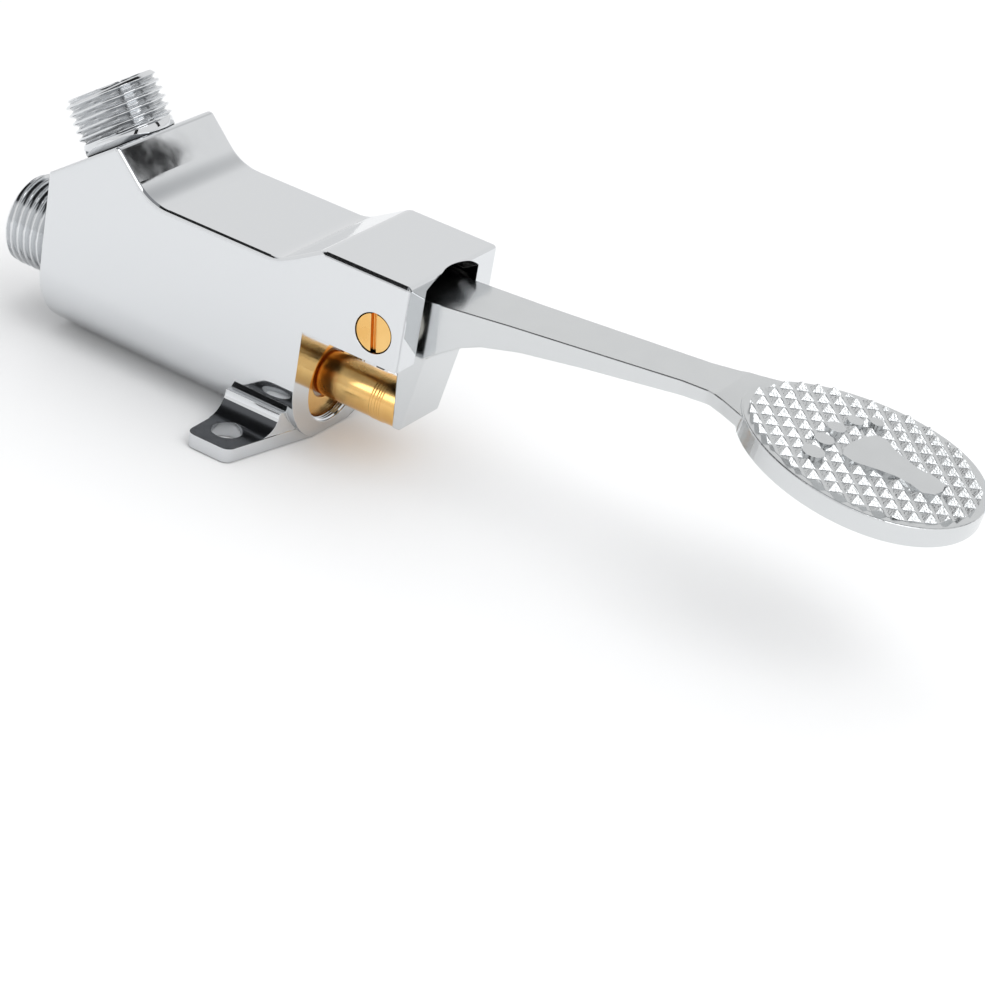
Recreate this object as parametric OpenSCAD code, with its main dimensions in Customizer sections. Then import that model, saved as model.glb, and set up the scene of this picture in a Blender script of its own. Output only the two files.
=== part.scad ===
// Foot pedal tap valve: chromed body, threaded inlet and outlet, push valve and tread pedal.
// Millimetres. Origin on the floor midway between the two fixing holes, +X to the pedal, +Z up.

/* [Body] */
// Width of the cast body across its flat sides
body_w = 33.2; // [30:0.2:38]
// Distance from the fixing holes back to the rear face
rear_reach = 58; // [55:0.5:63]
// Distance from the fixing holes forward to the front wall
wall_x = 10.5; // [9.5:0.25:12]
// Height of the saddle between the neck and the head
saddle_z = 41.6; // [40:0.2:44]
// Width of the flat land under the round belly
belly_land = 13; // [12.6:0.2:14]
// Rise of the belly toward the rear, in degrees
belly_rise = 1.1; // [0.6:0.1:1.1]

/* [Neck] */
// Backward tilt of the outlet from the vertical, in degrees
outlet_tilt = 35.7; // [30:0.5:40]
// Height of the neck's low rear edge
neck_z = 38.7; // [37:0.2:40]
// Length of the neck's flat top
neck_flat = 20.8; // [20:0.2:23]
// Slope of the neck's front face below the horizontal, in degrees
neck_slope = 43.5; // [40:0.5:50]
// Radius of the hollow between neck and saddle
neck_r = 12; // [8:0.5:15]

/* [Head] */
// Height of the head above the saddle
head_rise = 5.8; // [4:0.2:7]
// Length of the ramp from saddle to head
ramp_l = 10.1; // [8:0.5:12]
// Distance from the fixing holes forward to the head's front face
head_x = 34; // [32:0.5:36]
// Height of the head's underside
head_under = 28.2; // [27.4:0.2:29]
// Thickness of each cheek
cheek_t = 6.8; // [6:0.1:7.5]
// Height of the slot's roof at its sides, below the head's top
roof_drop = 4.5; // [4:0.1:5]
// Rise of the arched roof
roof_rise = 2.6; // [1.5:0.1:3]

/* [Foot ears] */
// Distance between the two fixing holes
hole_gap = 46.6; // [45:0.2:50]
// Diameter of a fixing hole
hole_d = 6.8; // [6.4:0.1:7]
// Thickness of an ear
ear_t = 3.2; // [3:0.1:4]
// Length of an ear along the body at its root
ear_root = 16.5; // [15:0.5:18]
// Length of an ear along the body at its tip
ear_tip = 11.5; // [10:0.5:12]
// Metal outside a fixing hole
ear_edge = 3.6; // [2:0.1:4]
// Radius of the hollow from ear to side
ear_r = 5; // [4:0.25:6]

/* [Threads] */
// Outside diameter of the half inch pipe threads
pipe_d = 20.955; // [20.8:0.005:21]
// Bore of the water way in each nipple
water_d = 14; // [12:0.5:14.5]
// Height of the inlet above the floor
inlet_z = 17.9; // [17.4:0.1:18.4]
// Length of the inlet thread
inlet_l = 15.4; // [13:0.2:17]
// Length of the outlet thread
outlet_l = 10.8; // [10:0.2:14]
// Height of the plain ring under the outlet thread
ring_l = 1.9; // [1.5:0.1:3]

/* [Valve] */
// Height of the valve bore above the floor
bore_z = 12.5; // [12.3:0.1:13]
// Diameter of the threaded bonnet
bonnet_d = 20.8; // [20.2:0.1:21]
// Depth of the bonnet below the front wall
bonnet_sink = 2.2; // [1.5:0.1:3]
// Length of the bonnet
bonnet_l = 11; // [10:0.25:12]
// Diameter of the plunger
plunger_d = 10; // [9.6:0.1:10.2]
// Radial running clearance of sliding and turning parts
run = 0.05; // [0.03:0.01:0.08]
// Diameter of the chamber ahead of the seat
chamber_d = 18; // [17.6:0.1:18.4]
// Diameter of the hole through the seat
seat_d = 9.6; // [9.2:0.1:10]
// Diameter of the valve stem
stem_d = 5; // [4.6:0.1:5.4]
// Diameter of the rubber disc washer
washer_d = 13.6; // [13.2:0.1:14]

/* [Pivot] */
// Height of the pedal's pivot
pivot_z = 34.8; // [34.4:0.1:35.4]
// Distance from the head's front face back to the pivot
pivot_back = 6.8; // [6.4:0.1:7.2]
// Diameter of the pivot screw's shank
shank_d = 6; // [5.5:0.1:6.4]
// Diameter of the pivot screw's head
screw_d = 8.5; // [8.2:0.1:9]
// Width of the screwdriver slot
screw_slot = 1.3; // [1:0.1:1.6]

/* [Pedal] */
// Rise of the pedal arm toward its tip, in degrees
arm_tilt = 5; // [3:0.5:7]
// Distance forward from the pivot to the pad's middle
pad_reach = 102.2; // [95:0.5:108]
// Height of the pad's rim above the pivot, at the pad's middle
pad_rise = 10.4; // [9.6:0.1:11.2]
// Drop of the pad toward its tip, in degrees
pad_drop = 7.2; // [5:0.5:9]
// Length of the egg-shaped pad
pad_l = 52; // [48:1:56]
// Width of the egg-shaped pad
pad_w = 42.4; // [40:0.4:45]
// Height of the pad's rim
rim_h = 4.4; // [4:0.1:5]
// Wall thickness of the arm's channel and the pad's rim
shell_t = 2.3; // [2.1:0.1:2.6]
// Rear face of the heel ahead of the pivot, at the pivot's height
heel_set = 0.7; // [0.5:0.1:0.9]
// Lean of the heel's rear face toward its lower end
heel_lean = 2; // [1.6:0.1:2.2]
// Thickness of the heel at its lower end
heel_tip = 1.8; // [1.6:0.1:2.2]
// Thickness of the arm's top over its channel
arm_t = 1.9; // [1.7:0.1:2.1]
// Thickness of each side washer of the pedal
thrust_t = 1.5; // [1.2:0.1:1.8]
// Width of the arm where it meets the pad
arm_neck_w = 12; // [11:0.5:13]
// Step from the arm's side in to the heel's side
heel_step = 0.75; // [0.6:0.05:1]
// Pitch of the diamond tread
tread_pitch = 3.5; // [3.3:0.1:4.2]
// Width of the flat between two pyramids
tread_flat = 0.6; // [0.4:0.05:0.8]
// Height of the diamond tread
tread_h = 1.2; // [1:0.1:1.4]
// Length of the footprint sign
print_l = 27; // [25:1:29]

/* [Spring] */
// Wire diameter of the return spring
wire_d = 1.2; // [1:0.1:1.4]
// Mean diameter of the return spring
coil_d = 12.4; // [12:0.1:12.8]
// Number of turns
coil_n = 6; // [5:1:7]

/* [Hidden] */
$fa = 4;
$fs = 0.4;
eps = 0.02;
half_w = body_w / 2;
rear_x = -rear_reach;
belly_z = sqrt(half_w * half_w - belly_land * belly_land / 4);
head_z = saddle_z + head_rise;
slot_half = half_w - cheek_t;
pivot_x = head_x - pivot_back;
neck_b = [rear_x + neck_flat * cos(outlet_tilt), neck_z + neck_flat * sin(outlet_tilt)];
neck_run = (neck_b[1] - saddle_z) / tan(neck_slope);
saddle_x = neck_b[0] + neck_run;
neck_t = neck_r * tan(neck_slope / 2);
ramp_x = wall_x + 1.6 - ramp_l;
ramp_slope = atan(head_rise / ramp_l);
ramp_r = 8;
ramp_t = ramp_r * tan(ramp_slope / 2);
outlet_x = rear_x + neck_flat / 2 * cos(outlet_tilt);
outlet_z = neck_z + neck_flat / 2 * sin(outlet_tilt);
pipe_r = pipe_d / 2;
water_r = water_d / 2;
spigot_r = water_r + 1.6;
inlet_spigot = 3.4;
outlet_spigot = 8;
cord = 1.2;
bonnet_r = bonnet_d / 2;
bonnet_x = wall_x - bonnet_sink;
gasket_t = 1.2;
step_x = bonnet_x - bonnet_l - gasket_t;
chamber_r = chamber_d / 2;
inner_r = chamber_r - 0.5;
seat_l = 5;
seat_x = rear_x + 17;
lip_h = 0.6;
inner_end = rear_x + inlet_spigot;
plunger_r = plunger_d / 2;
plunger_back = step_x - 8.1;
heel_gap = 0.2;
heel_bottom = bore_z - 1.7;
heel_slope = heel_lean / (pivot_z - heel_bottom);
plunger_end = pivot_x + heel_set + heel_slope * (pivot_z - bore_z - plunger_r) - heel_gap;
stem_r = stem_d / 2;
washer_r = washer_d / 2;
washer_t = 2.5;
washer_x = seat_x - lip_h - 0.05;
holder_t = 1.6;
holder_r = washer_r + 0.5;
holder_x = washer_x - washer_t - holder_t;
lock_t = 0.6;
nut_t = 2.2;
nut_x = holder_x - lock_t - nut_t;
collar_t = 1.2;
shank_r = shank_d / 2;
bush_r = shank_r + 1;
boss_r = bush_r + 2.6;
side_play = 0.15;
arm_root_w = 2 * (slot_half - thrust_t - side_play);
heel_w = arm_root_w - 2 * heel_step;
boss_w = arm_root_w - 0.2;
seal_low = 1.8;
seal_high = 4.4;
seal_w = 2;
mouth_gap = 0.7;
mouth_front = 1;
mouth_back = 3;
mouth_w = 1.6;
bonnet_edge = 0.5;
seat_lip = 0.9;
seat_flare = 1.3;
cup_lip = 0.8;
block = 200;
arm_top = 6.6;
bend = arm_tilt + pad_drop;
pad_back_x = pad_reach - pad_l / 2 * cos(pad_drop);
pad_back_z = pad_rise + pad_l / 2 * sin(pad_drop);
neck_u = pad_back_x * cos(arm_tilt) + pad_back_z * sin(arm_tilt);
neck_v = pad_back_z * cos(arm_tilt) - pad_back_x * sin(arm_tilt);
coil_front = plunger_back - collar_t;
coil_back = seat_x + seat_l;
coil_gap = (coil_front - coil_back - wire_d) / coil_n - wire_d;
echo(spring_gap_to_itself_mm = coil_gap);

// Places a turned piece on the valve's bore, its own Z along the object's X
module on_bore() {
  translate([0, 0, bore_z])
    rotate([0, 90, 0])
      children();
}

// Places a turned piece on the inlet, its own Z pointing out of the rear face
module on_inlet() {
  translate([rear_x, 0, inlet_z])
    rotate([0, -90, 0])
      children();
}

// Places a turned piece on the outlet, its own Z pointing out of the neck
module on_outlet() {
  translate([outlet_x, 0, outlet_z])
    rotate([0, -outlet_tilt, 0])
      children();
}

// Places a piece on the pivot, its own Z along the object's Y
module on_pivot() {
  translate([pivot_x, 0, pivot_z])
    rotate([-90, 0, 0])
      children();
}

// Places the pedal's own frame, its X along the arm
module on_arm() {
  translate([pivot_x, 0, pivot_z])
    rotate([0, -arm_tilt, 0])
      children();
}

// A ring with a square section between two radii and two stations
module ring(r_in, r_out, low, high) {
  rotate_extrude()
    polygon([[r_in, low], [r_out, low], [r_out, high], [r_in, high]]);
}

// An upright plate cut from the side view, given as X and Z points
module side_plate(points, width) {
  translate([0, width / 2, 0])
    rotate([90, 0, 0])
      linear_extrude(height = width)
        polygon(points);
}

// Side view of the body with flat fill where the two hollows go
module body_side() {
  side_plate([
    [rear_x, -1],
    [wall_x, -1],
    [wall_x, head_under],
    [head_x, head_under],
    [head_x, head_z],
    [ramp_x + ramp_l, head_z],
    [ramp_x + ramp_t * cos(ramp_slope), saddle_z + ramp_t * sin(ramp_slope)],
    [ramp_x - ramp_t, saddle_z],
    [saddle_x + neck_t, saddle_z],
    [saddle_x - neck_t * cos(neck_slope), saddle_z + neck_t * sin(neck_slope)],
    neck_b,
    [rear_x, neck_z]
  ], body_w + 4);
}

// Cross section of the body: flat sides on a round belly with a flat land
module body_section() {
  length = rear_reach + head_x + 4;
  translate([wall_x, 0, belly_z])
    rotate([0, belly_rise, 0]) {
      translate([-rear_reach - wall_x - 2, 0, 0])
        rotate([0, 90, 0])
          cylinder(r = half_w, h = length);
      translate([-rear_reach - wall_x - 2, -half_w, 0])
        cube([length, body_w, block]);
    }
}

// One foot ear with its hollow to the side, toward +Y
module ear() {
  tip_half = ear_tip / 2;
  tip_y = hole_gap / 2 + hole_d / 2 + ear_edge;
  sweep_y = 6;
  web_step = 0.15;
  tip_set = 0.2;
  tip_r = 2.2;
  sweep = atan((wall_x - tip_half - tip_set) / (tip_y - tip_r - sweep_y));
  linear_extrude(height = ear_t)
    polygon([
      [wall_x - ear_root, 0],
      [wall_x, 0],
      [wall_x, sweep_y],
      each [for (a = [0 : 18 : 90])
        [tip_half + tip_set - tip_r + tip_r * cos(a), tip_y - tip_r + tip_r * sin(a)]],
      each [for (a = [90 : 18 : 180])
        [tip_set - tip_half + tip_r + tip_r * cos(a), tip_y - tip_r + tip_r * sin(a)]],
      [wall_x - ear_root, half_w - 2]
    ]);
  difference() {
    translate([wall_x - ear_root, 0, 0])
      cube([ear_root, half_w + ear_r, ear_t + ear_r]);
    translate([wall_x - ear_root - 1, half_w + ear_r, ear_t + ear_r])
      rotate([0, 90, 0])
        cylinder(r = ear_r, h = ear_root + 2);
    translate([wall_x - web_step, sweep_y, -1])
      rotate([0, 0, sweep])
        cube([20, 40, 30]);
  }
}

// The slot between the cheeks, with its arched roof and flared front lip
module head_slot() {
  roof_z = head_z - roof_drop;
  roof_r = (slot_half * slot_half + roof_rise * roof_rise) / (2 * roof_rise);
  back_x = pivot_x - boss_r - 2;
  translate([back_x, -slot_half, head_under - 1])
    cube([head_x - back_x + 1, 2 * slot_half, roof_z - head_under + 1]);
  intersection() {
    translate([back_x, -slot_half, roof_z - 1])
      cube([head_x - back_x + 1, 2 * slot_half, 10]);
    translate([back_x - 1, 0, roof_z + roof_rise - roof_r])
      rotate([0, 90, 0])
        cylinder(r = roof_r, h = head_x - back_x + 3);
  }
  intersection() {
    translate([head_x - 5, -slot_half, roof_z - 6])
      cube([6, 2 * slot_half, 14]);
    translate([head_x - 4, 0, roof_z + roof_rise])
      rotate([0, -32, 0])
        translate([-6, 0, -roof_r])
          rotate([0, 90, 0])
            cylinder(r = roof_r, h = 20);
  }
}

// Water ways and seats inside the body
module body_bores() {
  on_bore() {
    translate([0, 0, step_x])
      cylinder(r = bonnet_r, h = wall_x - step_x + 1);
    translate([0, 0, seat_x])
      cylinder(r = chamber_r, h = step_x - seat_x + eps);
    translate([0, 0, inner_end])
      cylinder(r = inner_r, h = seat_x - inner_end + eps);
  }
  on_inlet()
    translate([0, 0, -inlet_spigot - eps])
      cylinder(r = spigot_r, h = inlet_spigot + 1);
  on_outlet() {
    translate([0, 0, -outlet_spigot])
      cylinder(r = spigot_r, h = outlet_spigot + 1);
    translate([0, 0, -outlet_spigot - 6.5])
      cylinder(r = water_r - 0.6, h = 8);
  }
  gallery();
}

// Cast gallery from the foot of the neck down into the chamber ahead of the seat
module gallery() {
  from = [outlet_x + 15 * sin(outlet_tilt), outlet_z - 15 * cos(outlet_tilt)];
  fall = 24;
  translate([from[0] - 1.5, 0, from[1]])
    rotate([0, 90 + fall, 0])
      cylinder(r = 5.6, h = 25);
}

// Fixing holes and pivot holes
module body_holes() {
  for (s = [-1, 1])
    translate([0, s * hole_gap / 2, -1])
      cylinder(d = hole_d, h = ear_t + 2);
  on_pivot() {
    translate([0, 0, -half_w - 1])
      cylinder(r = screw_d / 2 + 0.2, h = 3.6);
    translate([0, 0, -half_w])
      cylinder(r = shank_r, h = body_w - 2);
  }
}

module valve_body() {
  color("#d9dcde")
  difference() {
    union() {
      intersection() {
        body_side();
        body_section();
        translate([-block / 2, -block / 2, 0])
          cube(block);
      }
      ear();
      mirror([0, 1, 0])
        ear();
    }
    translate([saddle_x + neck_t, half_w + 1, saddle_z + neck_r])
      rotate([90, 0, 0])
        cylinder(r = neck_r, h = body_w + 2);
    translate([ramp_x - ramp_t, half_w + 1, saddle_z + ramp_r])
      rotate([90, 0, 0])
        cylinder(r = ramp_r, h = body_w + 2);
    head_slot();
    body_bores();
    body_holes();
  }
}

// A threaded nipple seen from its seat: spigot with a cord groove, plain ring, thread core, bore
module nipple(spigot_l, plain_l, thread_l) {
  top = plain_l + thread_l;
  groove = spigot_l / 2;
  rotate_extrude()
    polygon([
      [water_r, -spigot_l],
      [spigot_r, -spigot_l],
      [spigot_r, -groove - cord * 0.7],
      [spigot_r - cord, -groove - cord * 0.7],
      [spigot_r - cord, -groove + cord * 0.7],
      [spigot_r, -groove + cord * 0.7],
      [spigot_r, 0],
      [pipe_r - 0.35, 0],
      [pipe_r - 0.35, plain_l],
      [pipe_r, plain_l + 0.35],
      [pipe_r, top - 0.9],
      [pipe_r - 0.9, top],
      [water_r + 0.4, top],
      [water_r, top - 0.4]
    ]);
}

// A round sealing cord in the middle of a spigot
module cord_ring(mean_r, station) {
  translate([0, 0, station])
    rotate_extrude()
      translate([mean_r, 0])
        circle(d = cord - 0.1);
}

module inlet_nipple() {
  color("#cfd3d6")
    on_inlet()
      nipple(inlet_spigot, 0.8, inlet_l - 0.8);
}

module inlet_o_ring() {
  color("#1d1d1f")
    on_inlet()
      cord_ring(spigot_r - cord / 2, -inlet_spigot / 2);
}

module outlet_nipple() {
  color("#cfd3d6")
    on_outlet()
      nipple(outlet_spigot, ring_l, outlet_l);
}

module outlet_o_ring() {
  color("#1d1d1f")
    on_outlet()
      cord_ring(spigot_r - cord / 2, -outlet_spigot / 2);
}

module seat_bush() {
  seat_r = seat_d / 2;
  mid = seat_x + seat_l / 2;
  color("#c9a24a")
    on_bore()
      rotate_extrude()
        polygon([
          [seat_r, seat_x - lip_h],
          [seat_r + seat_lip, seat_x - lip_h],
          [seat_r + seat_flare, seat_x],
          [chamber_r, seat_x],
          [chamber_r, mid - cord * 0.7],
          [chamber_r - cord, mid - cord * 0.7],
          [chamber_r - cord, mid + cord * 0.7],
          [chamber_r, mid + cord * 0.7],
          [chamber_r, seat_x + seat_l],
          [seat_r, seat_x + seat_l]
        ]);
}

module seat_o_ring() {
  color("#1d1d1f")
    on_bore()
      cord_ring(chamber_r - cord / 2, seat_x + seat_l / 2);
}

// Bonnet with a mouth ring recess in front and a seal groove in the middle
module bonnet_nut() {
  back = bonnet_x - bonnet_l;
  guide_r = plunger_r + run;
  color("#d0a14b")
    on_bore()
      rotate_extrude()
        polygon([
          [guide_r, back],
          [bonnet_r, back],
          [bonnet_r, bonnet_x - bonnet_edge],
          [bonnet_r - bonnet_edge, bonnet_x],
          [guide_r + mouth_gap, bonnet_x],
          [guide_r + mouth_gap, bonnet_x - mouth_front],
          [guide_r + mouth_w, bonnet_x - mouth_front],
          [guide_r + mouth_w, bonnet_x - mouth_back],
          [guide_r, bonnet_x - mouth_back],
          [guide_r, back + seal_high],
          [guide_r + seal_w, back + seal_high],
          [guide_r + seal_w, back + seal_low],
          [guide_r, back + seal_low]
        ]);
}

module bonnet_gasket() {
  color("#2a2a2c")
    on_bore()
      ring(chamber_r, bonnet_r, step_x, step_x + gasket_t);
}

module stem_seal() {
  back = bonnet_x - bonnet_l;
  color("#1d1d1f")
    on_bore()
      ring(plunger_r + run, plunger_r + run + seal_w, back + seal_low, back + seal_high);
}

module wiper_ring() {
  color("#efece2")
    on_bore()
      ring(plunger_r + run, plunger_r + run + mouth_w, bonnet_x - mouth_back, bonnet_x - mouth_front);
}

module pivot_screw() {
  head_t = 2.4;
  color("#d0a14b")
  difference() {
    on_pivot() {
      translate([0, 0, -half_w + 0.1])
        cylinder(r = screw_d / 2, h = head_t);
      translate([0, 0, -half_w + 1])
        cylinder(r = shank_r, h = body_w - 3.2);
    }
    translate([pivot_x, -half_w, pivot_z])
      rotate([0, -8, 0])
        translate([-screw_slot / 2, -1, -screw_d])
          cube([screw_slot, 2.2, screw_d * 2]);
  }
}

module thrust_washer_near() {
  color("#e8e6dc")
    on_pivot()
      ring(shank_r + run, boss_r - 0.8, -slot_half, -slot_half + thrust_t);
}

module thrust_washer_far() {
  color("#e8e6dc")
    on_pivot()
      ring(shank_r + run, boss_r - 0.8, slot_half - thrust_t, slot_half);
}

// One unbroken tube wound along the bore, eight rings to a turn and six sides
module return_spring() {
  steps = 8;
  sides = 6;
  rings = coil_n * steps + 1;
  wire_r = wire_d / 2;
  pitch = wire_d + coil_gap;
  start = coil_back + wire_r;
  tube = [for (i = [0 : rings - 1], j = [0 : sides - 1])
    let (a = i * 360 / steps, b = j * 360 / sides, r = coil_d / 2 + wire_r * cos(b))
      [r * cos(a), r * sin(a), start + pitch * i / steps + wire_r * sin(b)]];
  skin = [for (i = [0 : rings - 2], j = [0 : sides - 1], half = [0, 1])
    let (k = (j + 1) % sides, p = i * sides, q = (i + 1) * sides)
      half == 0 ? [p + j, p + k, q + k] : [p + j, q + k, q + j]];
  first = [for (j = [1 : sides - 2]) [0, j + 1, j]];
  far = (rings - 1) * sides;
  last = [for (j = [1 : sides - 2]) [far, far + j, far + j + 1]];
  color("#b9bcc0")
    on_bore()
      polyhedron(points = tube, faces = concat(skin, first, last));
}

module plunger() {
  color("#d0a14b")
    on_bore()
      rotate_extrude()
        polygon([
          [0, plunger_end],
          [0, plunger_back + 8],
          [stem_r, plunger_back + 8],
          [stem_r, plunger_back],
          [plunger_r, plunger_back],
          [plunger_r, plunger_end - 1],
          [plunger_r - 1, plunger_end]
        ]);
}

// Stem screwed into the plunger, with the shoulder the disc is clamped against
module valve_stem() {
  color("#c9a24a")
    on_bore()
      rotate_extrude()
        polygon([
          [0, nut_x - 0.2],
          [stem_r, nut_x - 0.2],
          [stem_r, washer_x],
          [stem_r + 1.1, washer_x],
          [stem_r + 1.1, washer_x + 1.3],
          [stem_r, washer_x + 1.3],
          [stem_r, plunger_back + 7.5],
          [0, plunger_back + 7.5]
        ]);
}

module spring_collar() {
  color("#c9a24a")
    on_bore()
      ring(stem_r, coil_d / 2 + wire_d / 2 + 0.6, plunger_back - collar_t, plunger_back);
}

module disc_washer() {
  color("#1d1d1f")
    on_bore()
      ring(stem_r, washer_r, washer_x - washer_t, washer_x);
}

module disc_holder() {
  color("#c9a24a")
    on_bore()
      rotate_extrude()
        polygon([
          [stem_r, holder_x],
          [holder_r, holder_x],
          [holder_r, washer_x - cup_lip],
          [washer_r, washer_x - cup_lip],
          [washer_r, washer_x - washer_t],
          [stem_r, washer_x - washer_t]
        ]);
}

module disc_lock_washer() {
  color("#9b9ea2")
    on_bore()
      ring(stem_r, stem_r + 1.6, holder_x - lock_t, holder_x);
}

module disc_nut() {
  color("#c9a24a")
    on_bore()
      difference() {
        translate([0, 0, nut_x])
          cylinder(r = stem_r * 1.84, h = nut_t, $fn = 6);
        translate([0, 0, nut_x - 1])
          cylinder(r = stem_r, h = nut_t + 2);
      }
}

module pivot_bush() {
  color("#c9a24a")
    on_pivot()
      ring(shank_r + run, bush_r, -boss_w / 2, boss_w / 2);
}

// Places the pad's own frame, its origin in the middle of the rim's top
module on_pad() {
  translate([pivot_x + pad_reach, 0, pivot_z + pad_rise])
    rotate([0, pad_drop, 0])
      children();
}

// Outline of the pad, pulled in by an inset
function egg(inset) = [for (i = [0 : 89])
  let (a = i * 4)
    [(pad_l / 2 - inset) * cos(a), (pad_w / 2 - inset) * sin(a) * (1 + 0.1 * cos(a))]];

// A slab of the pad's outline between two heights
module egg_slab(inset, low, high) {
  translate([0, 0, low])
    linear_extrude(height = high - low)
      polygon(egg(inset));
}

// Plan of the arm, pulled in by an inset, flaring into the pad
module arm_plan(inset, front) {
  root = arm_root_w / 2 - inset;
  neck = arm_neck_w / 2 - inset;
  side = [
    [0, root],
    [10, root],
    [26, root * 0.55 + neck * 0.45],
    [neck_u - 12, neck],
    [neck_u - 6, neck + 0.6],
    [neck_u - 2, neck + 2],
    [front, neck + 5]
  ];
  far = [for (i = [len(side) - 1 : -1 : 0]) [side[i][0], -side[i][1]]];
  polygon(concat(side, far));
}

// The arm: its side view trimmed to its plan, with an open channel below
module arm() {
  reach = 5;
  front = neck_u + reach * cos(bend);
  front_v = neck_v - reach * sin(bend);
  difference() {
    intersection() {
      side_plate([
        [0, arm_top],
        [0, -6.4],
        [7.2, -6.4],
        [11.6, -3.6],
        [15.8, -1.3],
        [20, 0.1],
        [29, 1.5],
        [44, 2.5],
        [57, 3.1],
        [neck_u - 5, arm_top - 2.9],
        [front, front_v - rim_h + 0.9],
        [front, front_v - 0.5],
        [neck_u - 4, arm_top]
      ], arm_root_w + 8);
      translate([0, 0, -10])
        linear_extrude(height = 30)
          arm_plan(0, front);
    }
    translate([0, 0, arm_top - arm_t - 12])
      linear_extrude(height = 12)
        intersection() {
          arm_plan(shell_t, front);
          translate([13, -20])
            square([neck_u - 16, 40]);
        }
  }
}

// The heel that hangs in the head and presses the plunger
module heel() {
  translate([pivot_x, 0, 0])
    side_plate([
      [heel_set + heel_lean, heel_bottom],
      [heel_set + heel_lean + heel_tip, heel_bottom],
      [7.7, pivot_z - 6],
      [7.7, pivot_z],
      [heel_set, pivot_z]
    ], heel_w);
}

// One row of grooves across the pad, turned by an angle
module groove_row(turn) {
  count = ceil(0.29 * (pad_l + pad_w) / tread_pitch);
  half = (tread_pitch - 0.25) / 2;
  flat = tread_flat / 2;
  rotate([0, 0, turn])
    for (i = [-count : count])
      translate([0, (i + 0.5) * tread_pitch, 0])
        rotate([90, 0, 90])
          translate([0, 0, -block / 4])
            linear_extrude(height = block / 2)
              polygon([[-flat, 0.08], [flat, 0.08], [half, tread_h + 0.001], [half, tread_h + 1],
                [-half, tread_h + 1], [-half, tread_h + 0.001]]);
}

// Flat footprint sign of a generic bare foot, toes toward the body
module print_plan() {
  k = print_l / 27;
  scale([k, k]) {
    polygon([[-2.4, -4.6], [-1.5, -7], [1.3, -7.4], [5, -5.7], [9, -4.2], [12.4, -4.1], [15.2, -4.7],
      [17.1, -3.1], [17.6, -0.4], [16.8, 2.3], [14.4, 2.9], [11, 2.6], [7.4, 3.2], [4, 4.6],
      [1.3, 6.4], [-0.8, 5.5], [-1.9, 2.4], [-2.4, -1]]);
    translate([-5.7, -11.4])
      circle(r = 2.3);
    translate([-6.5, -5.3])
      circle(r = 2);
    translate([-7.1, 1])
      circle(r = 1.9);
    translate([-5.9, 6.9])
      circle(r = 1.7);
    translate([-2.9, 10.6])
      circle(r = 1.5);
  }
}

// Raised diamond tread with the footprint left standing flat
module tread() {
  difference() {
    egg_slab(1.6, -0.5, tread_h);
    groove_row(45);
    groove_row(-45);
  }
  translate([0, 0, -0.5])
    linear_extrude(height = tread_h + 0.6)
      print_plan();
}

// The egg-shaped pad, dished below inside its rim
module pad() {
  difference() {
    egg_slab(0, -rim_h, 0);
    egg_slab(shell_t, -rim_h - 1, -shell_t);
  }
}

module pedal_lever() {
  color("#c4c8cb")
  difference() {
    union() {
      on_arm()
        arm();
      on_pad() {
        pad();
        tread();
      }
      heel();
      on_pivot()
        translate([0, 0, -boss_w / 2])
          cylinder(r = boss_r, h = boss_w);
    }
    on_pivot()
      translate([0, 0, -arm_root_w])
        cylinder(r = bush_r, h = arm_root_w * 2);
  }
}

valve_body();
inlet_nipple();
inlet_o_ring();
outlet_nipple();
outlet_o_ring();
seat_bush();
seat_o_ring();
bonnet_nut();
bonnet_gasket();
stem_seal();
wiper_ring();
pivot_screw();
thrust_washer_near();
thrust_washer_far();
return_spring();
plunger();
valve_stem();
spring_collar();
disc_washer();
disc_holder();
disc_lock_washer();
disc_nut();
pivot_bush();
pedal_lever();
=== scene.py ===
import math

import bmesh
import bpy
from mathutils import Matrix, Vector


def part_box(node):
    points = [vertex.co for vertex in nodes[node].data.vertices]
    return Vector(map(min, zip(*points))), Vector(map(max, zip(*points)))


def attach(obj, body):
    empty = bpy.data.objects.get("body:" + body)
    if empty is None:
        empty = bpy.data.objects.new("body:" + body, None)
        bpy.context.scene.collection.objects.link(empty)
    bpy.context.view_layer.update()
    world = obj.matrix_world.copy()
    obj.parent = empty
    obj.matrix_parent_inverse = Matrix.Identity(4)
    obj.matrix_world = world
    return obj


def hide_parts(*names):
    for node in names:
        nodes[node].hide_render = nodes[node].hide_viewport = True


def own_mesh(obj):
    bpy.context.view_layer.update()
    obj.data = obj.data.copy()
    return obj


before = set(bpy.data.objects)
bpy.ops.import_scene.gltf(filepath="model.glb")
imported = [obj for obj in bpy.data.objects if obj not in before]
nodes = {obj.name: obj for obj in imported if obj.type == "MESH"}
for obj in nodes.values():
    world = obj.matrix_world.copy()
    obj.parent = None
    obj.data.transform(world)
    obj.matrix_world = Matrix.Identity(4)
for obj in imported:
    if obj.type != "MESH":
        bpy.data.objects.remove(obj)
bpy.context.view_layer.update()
mm = 0.001
print("frame loaded:", len(nodes), "nodes")


# Colours and shader nodes

def hexToLinear(text):
    parts = [int(text[i:i + 2], 16) / 255 for i in (1, 3, 5)]
    linear = [c / 12.92 if c <= 0.04045 else ((c + 0.055) / 1.055) ** 2.4 for c in parts]
    return (*linear, 1.0)


# Sockets go by name, or by number where names repeat; a whole node as a link is its first output
def addNode(tree, kind, settings=None, links=None):
    node = tree.nodes.new(kind)
    for key, value in (settings or {}).items():
        if isinstance(key, str) and hasattr(node, key):
            setattr(node, key, value)
        else:
            node.inputs[key].default_value = value
    for key, source in (links or {}).items():
        socket = source.outputs[0] if isinstance(source, bpy.types.Node) else source
        tree.links.new(socket, node.inputs[key])
    return node


mixFrom, mixTo, mixOut = 6, 7, 2   # the colour sockets of a Mix node


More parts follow.
